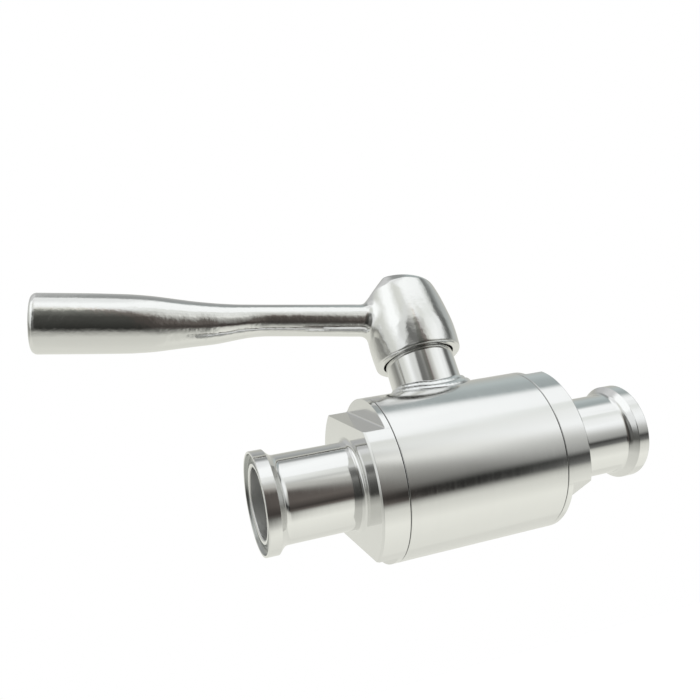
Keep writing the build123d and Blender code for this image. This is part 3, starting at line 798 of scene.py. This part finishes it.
# The room has a part for each stretch of its walls. A part is a list of steps, each with its height
# above the table plane, in degrees, and its brightness. Steps below zero are the table.
TABLE_TINT = (0.995, 1.0, 0.925)
LAMP_TINT = (0.98, 1.0, 1.0)
FRONT_TABLE = [(-90, 0.83), (-30, 0.72), (-11, 0.42)]
SIDE_TABLE = [(-90, 0.83), (-30, 1.0), (-10, 0.78)]
BACK_TABLE = [(-90, 0.83), (-30, 0.82), (-14, 0.6)]
DARK_DOOR = FRONT_TABLE + [
    (-4, 0.15), (3, 0.03), (48, 0.08), (66, 0.18), (72, 0.3), (79, 0.8), (90, 1.2),
]
LEFT_CORNER = FRONT_TABLE + [
    (-2, 0.1), (24, 0.15), (46, 0.32), (54, 0.18), (62, 0.2), (78, 0.8), (90, 1.2),
]
LEFT_WALL = BACK_TABLE + [
    (-4, 0.35), (12, 0.8), (36, 1.0), (46, 0.8), (78, 0.85), (90, 1.2),
]
LEFT_WINDOW = BACK_TABLE[:2] + [
    (-14, 0.42), (-4, 0.25), (8, 0.7), (22, 0.8), (38, 1.25), (52, 1.25), (66, 0.8), (78, 0.85), (90, 1.2),
]
BACK_LEFT_WALL = BACK_TABLE + [
    (0, 0.6), (16, 0.6), (30, 0.75), (44, 0.7), (50, 1.05), (64, 0.9), (80, 1.2), (90, 1.2),
]
BACK_WALL = BACK_TABLE + [
    (-4, 0.5), (10, 0.5), (20, 0.4), (42, 0.35), (50, 1.0), (64, 1.0), (80, 1.2), (90, 1.2),
]
BACK_SCREEN = BACK_TABLE + [
    (-4, 0.55), (18, 0.6), (30, 0.5), (42, 0.45), (48, 1.1), (54, 1.2), (90, 1.2),
]
BACK_CORNER = BACK_TABLE + [
    (0, 0.55), (12, 0.5), (26, 0.24), (31, 0.25), (36, 0.65), (46, 1.15), (90, 1.2),
]
DARK_PANEL = BACK_TABLE + [
    (0, 0.5), (14, 0.15), (34, 0.18), (42, 0.8), (54, 1.15), (90, 1.2),
]
PANEL_EDGE = BACK_TABLE + [
    (0, 0.45), (12, 0.2), (22, 0.28), (34, 1.05), (56, 0.95), (70, 1.15), (90, 1.2),
]
RIGHT_WALL = SIDE_TABLE + [
    (-1, 0.2), (3, 0.03), (8, 0.04), (20, 0.6), (31, 1.0), (44, 1.15), (70, 0.88), (90, 1.2),
]
FRONT_RIGHT_WALL = SIDE_TABLE + [
    (-5, 0.6), (0, 0.18), (9, 0.06), (15, 0.38), (31, 0.63),
    (46, 0.95), (54, 0.95), (66, 0.63), (79, 1.1), (90, 1.2),
]
FRONT_CORNER = SIDE_TABLE + [
    (-5, 0.55), (1, 0.03), (10, 0.02), (18, 0.22), (45, 0.5), (66, 0.6), (79, 1.0), (90, 1.2),
]
DOOR_FRAME = SIDE_TABLE + [
    (-5, 0.55), (0, 0.14), (6, 0.05), (22, 0.13), (48, 0.1), (58, 0.22), (82, 1.0), (90, 1.2),
]
DOOR_PANEL = FRONT_TABLE[:2] + [
    (-16, 0.34), (-6, 0.15), (6, 0.06), (46, 0.08), (72, 0.22), (82, 0.9), (90, 1.2),
]
# Where each part starts, in degrees round from the far side and positive to the right; the softness
# of that edge, in degrees; the part's tint; its steps. The last part joins the first.
ROOM_SECTORS = [
    (-180, 4, (1.0, 1.01, 0.92), DARK_DOOR),
    (-160, 8, (1.0, 1.01, 0.97), LEFT_CORNER),
    (-121, 5, (1.0, 1.02, 1.0), LEFT_WALL),
    (-97, 6, (1.0, 1.02, 0.97), LEFT_WINDOW),
    (-40, 8, (0.99, 1.0, 1.0), BACK_LEFT_WALL),
    (0, 7, (0.97, 1.0, 0.99), BACK_WALL),
    (24, 6, (0.9, 1.0, 1.0), BACK_SCREEN),
    (50, 6, (0.95, 1.0, 0.98), BACK_CORNER),
    (72, 6, (0.98, 1.01, 0.98), DARK_PANEL),
    (86, 4, (0.98, 1.01, 0.98), PANEL_EDGE),
    (102, 6, (0.99, 1.01, 0.97), RIGHT_WALL),
    (135, 7, (0.99, 1.0, 0.96), FRONT_RIGHT_WALL),
    (149, 4, (1.0, 1.0, 0.94), FRONT_CORNER),
    (159, 4, (1.1, 0.97, 0.88), DOOR_FRAME),
    (168, 3, (1.1, 0.97, 0.88), DOOR_PANEL),
    (177, 4, (1.0, 1.01, 0.92), DARK_DOOR),
]
# The colour ramps hold the brightness divided by this, and the background multiplies it back.
ROOM_GAIN = 2.0


def height_ramp(tree, height, stops, color):
    """Brightness against height above the table plane."""
    ramp = tree.nodes.new("ShaderNodeValToRGB")
    elements = ramp.color_ramp.elements
    while len(elements) < len(stops):
        elements.new(1.0)
    for element, (angle, level) in zip(elements, stops):
        element.position = (angle + 90) / 180
        if angle < 0:
            hue = TABLE_TINT
        elif level >= 1:
            hue = LAMP_TINT
        else:
            hue = color
        element.color = (*(level / ROOM_GAIN * part for part in hue), 1)
    tree.links.new(height, ramp.inputs["Fac"])
    return ramp.outputs["Color"]


def along_vector(tree, direction, vector):
    """Dot product of the view direction with a fixed vector."""
    made = tree.nodes.new("ShaderNodeVectorMath")
    made.operation = "DOT_PRODUCT"
    tree.links.new(direction, made.inputs[0])
    made.inputs[1].default_value = vector
    return made.outputs["Value"]


def mixed(tree, factor, first, second):
    """Mix two colour sockets."""
    mix = tree.nodes.new("ShaderNodeMix")
    mix.data_type = "RGBA"
    tree.links.new(factor, mix.inputs["Factor"])
    tree.links.new(first, mix.inputs["A"])
    tree.links.new(second, mix.inputs["B"])
    return mix.outputs["Result"]


def studio_room():
    """World light: a white table, a room with dark parts beyond its edge, and light from above."""
    world = bpy.data.worlds.new("studio_room")
    bpy.context.scene.world = world
    world.use_nodes = True
    tree = world.node_tree
    tree.nodes.clear()
    direction = tree.nodes.new("ShaderNodeTexCoord").outputs["Generated"]
    rise = calculate(tree, "ARCSINE", along_vector(tree, direction, TABLE_UP))
    height = calculate(tree, "MULTIPLY_ADD", rise, 1 / math.pi, 0.5)
    right = along_vector(tree, direction, (1, 0, 0))
    back = along_vector(tree, direction, TABLE_BACK)
    azimuth = calculate(tree, "ARCTAN2", right, back)
    color = None
    for start, soft, sector_tint, stops in ROOM_SECTORS:
        ramp = height_ramp(tree, height, stops, sector_tint)
        if color is None:
            color = ramp
            continue
        edge = tree.nodes.new("ShaderNodeMapRange")
        edge.interpolation_type = "SMOOTHSTEP"
        edge.inputs["From Min"].default_value = math.radians(start - soft)
        edge.inputs["From Max"].default_value = math.radians(start + soft)
        tree.links.new(azimuth, edge.inputs["Value"])
        color = mixed(tree, edge.outputs["Result"], color, ramp)
    room = node(tree, "ShaderNodeBackground", Strength=ROOM_GAIN)
    tree.links.new(color, room.inputs["Color"])
    backdrop = node(tree, "ShaderNodeBackground", Color=(1, 1, 1, 1), Strength=1.0)
    seen = tree.nodes.new("ShaderNodeLightPath").outputs["Is Camera Ray"]
    switch = tree.nodes.new("ShaderNodeMixShader")
    tree.links.new(seen, switch.inputs[0])
    tree.links.new(room.outputs[0], switch.inputs[1])
    tree.links.new(backdrop.outputs[0], switch.inputs[2])
    output = tree.nodes.new("ShaderNodeOutputWorld")
    tree.links.new(switch.outputs[0], output.inputs["Surface"])


def floor():
    """Plain pale floor below the valve, kept out of its reflections."""
    bm = bmesh.new()
    bmesh.ops.create_circle(bm, cap_ends=True, segments=96, radius=FLOOR_RADIUS)
    piece = bmesh_object("floor", bm)
    piece.location = (0, 0, FLOOR_HEIGHT)
    piece.visible_glossy = False
    material, tree, principled = shader("floor_paper", FLOOR_COLOR, metallic=0.0, roughness=FLOOR_ROUGHNESS)
    principled.inputs["Emission Color"].default_value = (1, 1, 1, 1)
    principled.inputs["Emission Strength"].default_value = FLOOR_GLOW
    place_on_floor = tree.nodes.new("ShaderNodeTexCoord").outputs["Object"]
    grain = noise(tree, place_on_floor, scale=900.0)
    bump(tree, principled, grain, distance=0.00005)
    piece.data.materials.append(material)


def softbox():
    """Large light over the floor; it shapes shadows and stays out of the reflections."""
    data = bpy.data.lights.new("softbox", "AREA")
    data.shape = "DISK"
    data.size = SOFTBOX_SIZE
    data.energy = SOFTBOX_POWER
    lamp = bpy.data.objects.new("softbox", data)
    lamp.location = SOFTBOX_PLACE
    lamp.rotation_mode = "QUATERNION"
    lamp.rotation_quaternion = (-lamp.location).to_track_quat("-Z", "Y")
    lamp.visible_glossy = False
    bpy.context.scene.collection.objects.link(lamp)


def camera():
    """Camera low in front of the inlet end, looking up past the barrel."""
    data = bpy.data.cameras.new("camera")
    data.sensor_width = CAMERA_FILM
    data.lens = CAMERA_LENS
    data.clip_start = CAMERA_NEAR
    view = bpy.data.objects.new("camera", data)
    right = Vector(CAMERA_RIGHT).normalized()
    forward = Vector(CAMERA_FORWARD).normalized()
    up = right.cross(forward).normalized()
    right = forward.cross(up)
    turn = Matrix((right, up, -forward)).transposed().to_4x4()
    view.matrix_world = Matrix.Translation(CAMERA_PLACE) @ turn
    bpy.context.scene.collection.objects.link(view)
    bpy.context.scene.camera = view


# ------------------------------------------------------------------ build

TURNED = turned_steel("turned_stainless_steel", roughness=0.14)
CAP_STEEL = cap_steel("cap_stainless_steel")
MILLED = milled_steel("milled_stainless_steel")
# Steel darkened in colour to paint the shade inside the gasket groove.
GROOVE_PAINTED_SHADE_STEEL = turned_steel("groove_painted_shade_steel", color=(0.42, 0.43, 0.42), roughness=0.26)
STEM_STEEL = turned_steel("stem_stainless_steel", axis="Z", roughness=0.16)
NECK_STEEL = polished_steel("neck_stainless_steel", axis="Z")
BALL_STEEL = polished_steel("ball_stainless_steel", roughness=0.05)
CAST = cast_steel("cast_stainless_steel")
WELD = weld_steel("weld_metal_bright")
PTFE = seal_polymer("seal_white", color=(0.86, 0.86, 0.84), roughness=0.35, grain_height=0.00002)
RUBBER = seal_polymer("seal_black", color=(0.03, 0.03, 0.032), roughness=0.5, grain_height=0.00003)

NODE_MATERIALS = {
    "stem_neck": NECK_STEEL,
    "ball": BALL_STEEL,
    "stem": STEM_STEEL,
    "packing_gland": STEM_STEEL,
    "disc_springs": STEM_STEEL,
    "stop_plate": STEM_STEEL,
    "stop_pin": STEM_STEEL,
    "gland_nut": STEM_STEEL,
    "lock_washer": STEM_STEEL,
    "handle_washer": STEM_STEEL,
    "handle_screw": STEM_STEEL,
    "cap_gasket_inlet": PTFE,
    "cap_gasket_outlet": PTFE,
    "seat_inlet": PTFE,
    "seat_outlet": PTFE,
    "stem_thrust_washer": PTFE,
    "packing_base_ring": PTFE,
    "packing_chevron_rings": PTFE,
    "stem_o_ring": RUBBER,
}
for name, material in NODE_MATERIALS.items():
    for material_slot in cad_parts[name].material_slots:
        material_slot.material = material

place(barrel(), "valve_body", ["body_barrel"], "turned_stainless", TURNED)
cap_materials = (CAP_STEEL, MILLED, GROOVE_PAINTED_SHADE_STEEL)
for side in ("inlet", "outlet"):
    place(end_cap(side), "valve_body", ["end_cap_" + side], "polished_stainless", *cap_materials)
place(weld_bead(), "valve_body", ["neck_weld_bead"], "weld_metal", WELD)
place(handle_lever(), "stem_and_lever", ["handle_lever"], "cast_stainless", CAST)

studio_room()
floor()
softbox()
camera()
bpy.context.scene.view_settings.view_transform = "Standard"
